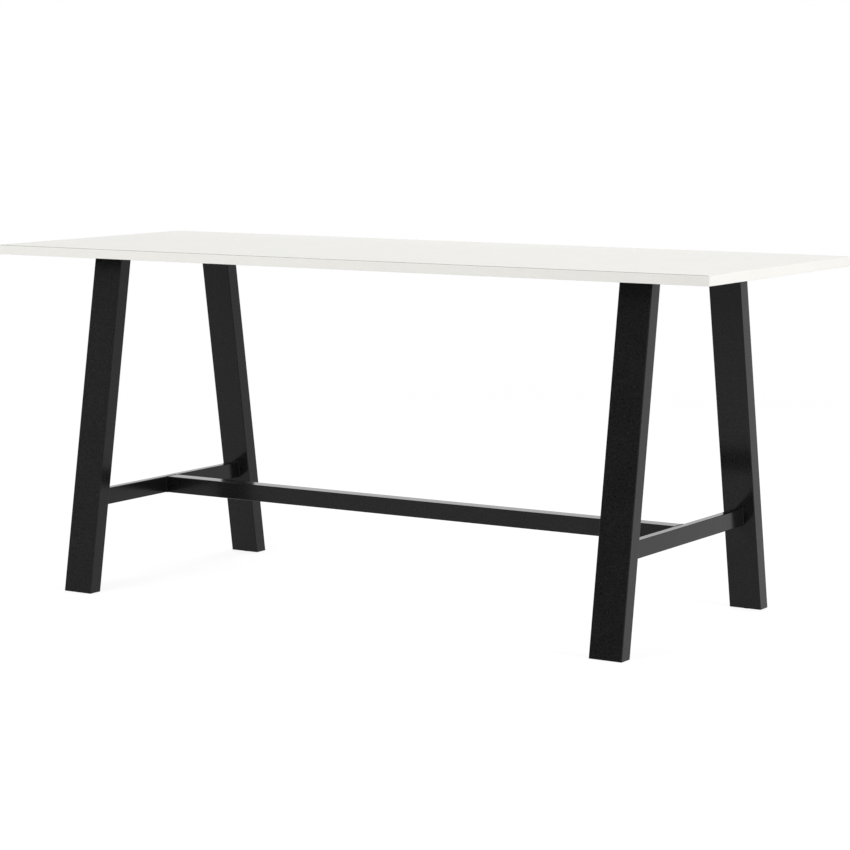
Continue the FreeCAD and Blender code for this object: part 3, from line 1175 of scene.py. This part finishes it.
@dataclass(frozen=True)
class Flat:
    """A plain upright studio card that the legs reflect, out of the camera's sight."""

    name: str
    middle: Point
    facing: Point
    width: float
    height: float
    tone: float

    def build(self) -> None:
        """Make the card and its matt material."""
        mesh = card_mesh(self.name, self.width, self.height)
        turn = Vector(self.facing).to_track_quat("Z", "Y").to_matrix().to_4x4()
        mesh.transform(Matrix.Translation(self.middle) @ turn)
        card = new_piece(self.name, mesh)
        card.visible_camera = False
        paint, graph = new_material(self.name)
        matt = graph.add("ShaderNodeBsdfDiffuse", Color=shade(WHITE, self.tone))
        graph.add("ShaderNodeOutputMaterial", Surface=matt.outputs[0])
        mesh.materials.append(paint)
        LOG.info("set %s", self.name)


LAMPS = (
    Softbox(name="front_softbox", place=(-1.6, -6.5, 3.0), aim=(0.0, 0.0, 1.0),
            width=2.4, height=2.4, power=239.0),
    Softbox(name="end_softbox", place=(6.0, -0.5, 2.5), aim=(1.2, 0.0, 1.0),
            width=2.0, height=2.0, power=176.0),
    Softbox(name="back_softbox", place=(-0.7, 3.0, 3.0), aim=(-0.2, 0.3, 1.0),
            width=1.6, height=1.6, power=34.0),
)
FLATS = (
    Flat(name="front_flat", middle=(-2.55, -8.025, 2.3), facing=(0.57, 0.82, 0.0),
         width=4.0, height=4.6, tone=0.2),
    Flat(name="side_flat", middle=(-5.42, -6.03, 2.3), facing=(0.57, 0.82, 0.0),
         width=3.0, height=4.6, tone=0.95),
)


@dataclass
class Studio:
    """Floor, light and camera.

    Attributes:
        floor_reach: From the middle of the floor to its sides.
        floor_tone: Grey of the floor in the light that it sends back.
        shadow_tone: How much of the lamps' light, and so of a shadow, shows on the floor.
        floor_light: Light that falls on the open floor, which the floor's own glow makes up to white.
        shadow_reach: Where the shadow's strength starts to fade, and where it has faded.
        sky: Strength of the light from all around.
        camera_place: Where the camera stands.
        camera_yaw: Its turn around the upright axis, in radians.
        camera_pitch: Its tilt down from level, in radians.
        camera_lens: Focal length in millimetres.
        camera_sensor: Width of the sensor in millimetres.
        camera_shift: Shift of the lens, as shares of the picture.
        camera_reach: How far the camera sees.
    """

    floor_reach: float = 60.0
    floor_tone: float = 0.42
    shadow_tone: float = 0.2
    floor_light: float = 0.72
    shadow_reach: Pair = (2.5, 7.0)
    sky: float = 0.57
    camera_place: Point = (4.4091, -6.8825, 1.5753)
    camera_yaw: float = 0.56669
    camera_pitch: float = 0.08088
    camera_lens: float = 116.218
    camera_sensor: float = 36.0
    camera_shift: Pair = (0.0073, -0.15)
    camera_reach: float = 200.0
    lamps: tuple[Softbox, ...] = LAMPS
    flats: tuple[Flat, ...] = FLATS

    def build(self) -> None:
        """Set the whole studio."""
        self.build_floor()
        self.build_sky()
        for lamp in self.lamps:
            lamp.build()
        for flat in self.flats:
            flat.build()
        self.build_camera()

    @staticmethod
    def seen_directly(graph: Graph) -> Socket:
        """Tell the rays that show a surface from those that only carry its light.

        Args:
            graph: The graph of a material or of the world.

        Returns:
            A socket that is 1 for camera, glossy and transmission rays.
        """
        rays = graph.add("ShaderNodeLightPath").outputs
        pair = graph.math("MAXIMUM", rays["Is Camera Ray"], rays["Is Glossy Ray"])
        return graph.math("MAXIMUM", pair, rays["Is Transmission Ray"])

    def build_floor(self) -> None:
        """A pale floor that is white where it is seen, keeps a soft shadow and is clear from below."""
        mesh = card_mesh("floor", 2 * self.floor_reach, 2 * self.floor_reach)
        floor = new_piece("floor", mesh)
        paint, graph = new_material("pale_floor")
        plain = graph.add("ShaderNodeBsdfDiffuse", Color=shade(WHITE, self.floor_tone))

        # The part that takes the shadow fades away from the table, and the glow fills up the rest.
        place = graph.add("ShaderNodeTexCoord").outputs["Object"]
        away = graph.add("ShaderNodeVectorMath", {"operation": "LENGTH"}, Vector=place).outputs["Value"]
        near, far = self.shadow_reach
        fade = graph.add("ShaderNodeMapRange", {"interpolation_type": "SMOOTHSTEP"}, Value=away,
                         From_Min=near, From_Max=far, To_Min=self.shadow_tone, To_Max=0.0).outputs[0]
        shadow = graph.add("ShaderNodeBsdfDiffuse", Color=fade)
        glow = graph.math("SUBTRACT", 1.0, graph.math("MULTIPLY", fade, self.floor_light))
        white = graph.add("ShaderNodeEmission", Color=WHITE, Strength=glow)
        seen = graph.add("ShaderNodeAddShader", in0=shadow.outputs[0], in1=white.outputs[0])

        above = graph.add("ShaderNodeMixShader", in0=self.seen_directly(graph),
                          in1=plain.outputs[0], in2=seen.outputs[0])
        below = graph.add("ShaderNodeNewGeometry").outputs["Backfacing"]
        clear = graph.add("ShaderNodeBsdfTransparent")
        whole = graph.add("ShaderNodeMixShader", in0=below, in1=above.outputs[0], in2=clear.outputs[0])
        graph.add("ShaderNodeOutputMaterial", Surface=whole.outputs[0])
        mesh.materials.append(paint)
        LOG.info("set the floor")

    def build_sky(self) -> None:
        """White where it is seen, a soft even light elsewhere."""
        world = bpy.data.worlds.new("studio")
        world.use_nodes = True
        bpy.context.scene.world = world
        graph = Graph(world.node_tree)
        light = graph.add("ShaderNodeBackground", Color=WHITE, Strength=self.sky)
        white = graph.add("ShaderNodeBackground", Color=WHITE, Strength=1.0)
        mix = graph.add("ShaderNodeMixShader", in0=self.seen_directly(graph),
                        in1=light.outputs[0], in2=white.outputs[0])
        graph.add("ShaderNodeOutputWorld", Surface=mix.outputs[0])
        LOG.info("set the sky")

    def build_camera(self) -> None:
        """The camera at the photograph's viewing angle."""
        lens = bpy.data.cameras.new("camera")
        lens.lens = self.camera_lens
        lens.sensor_width = self.camera_sensor
        lens.shift_x, lens.shift_y = self.camera_shift
        lens.clip_end = self.camera_reach
        camera = bpy.data.objects.new("camera", lens)
        camera.location = self.camera_place
        camera.rotation_euler = (math.pi / 2 - self.camera_pitch, 0.0, self.camera_yaw)
        bpy.context.scene.collection.objects.link(camera)
        bpy.context.scene.camera = camera
        LOG.info("set the camera")


def main() -> None:
    """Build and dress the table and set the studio."""
    logging.basicConfig(level=logging.INFO, format="%(name)s: %(message)s")
    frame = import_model()
    nodes = frame["nodes"]
    bpy.context.scene.view_settings.view_transform = "Standard"

    TableTop(nodes).dress()

    beads = bead_tree()
    for side in Side:
        half = LegFrame(nodes, side)
        half.build(beads)
        half.dress()

    fasteners = fastener_tree()
    plate_screw = HexScrew(name="plate_screw_shape", head_width=0.010, head_height=0.004,
                           shank_radius=0.003, shank_length=0.025)
    plate_set = FastenerSet(node="plate_screws", screw=plate_screw, finish=ZINC,
                            slot="zinc_steel", seed=3)
    plate_set.build(TopFixing().screw_places(), fasteners)

    rail = FootRail(nodes)
    rail.build(beads)
    rail.dress()
    rail_screw = SocketScrew(name="rail_screw_shape", head_width=0.016, head_height=0.0023,
                             shank_radius=0.004, shank_length=0.016)
    rail_set = FastenerSet(node="rail_screws", screw=rail_screw, finish=BLACK_STEEL,
                           slot="black_screw_steel", seed=5)
    rail_set.build(rail.screw_places(), fasteners)

    threads = thread_tree()
    for side in Side:
        for row in Row:
            foot = LevellingFoot(nodes, side, row)
            foot.build(threads)
            foot.dress()
    dress(nodes["foot_nuts"], ZINC)

    Studio().build()


if __name__ == "__main__":
    main()
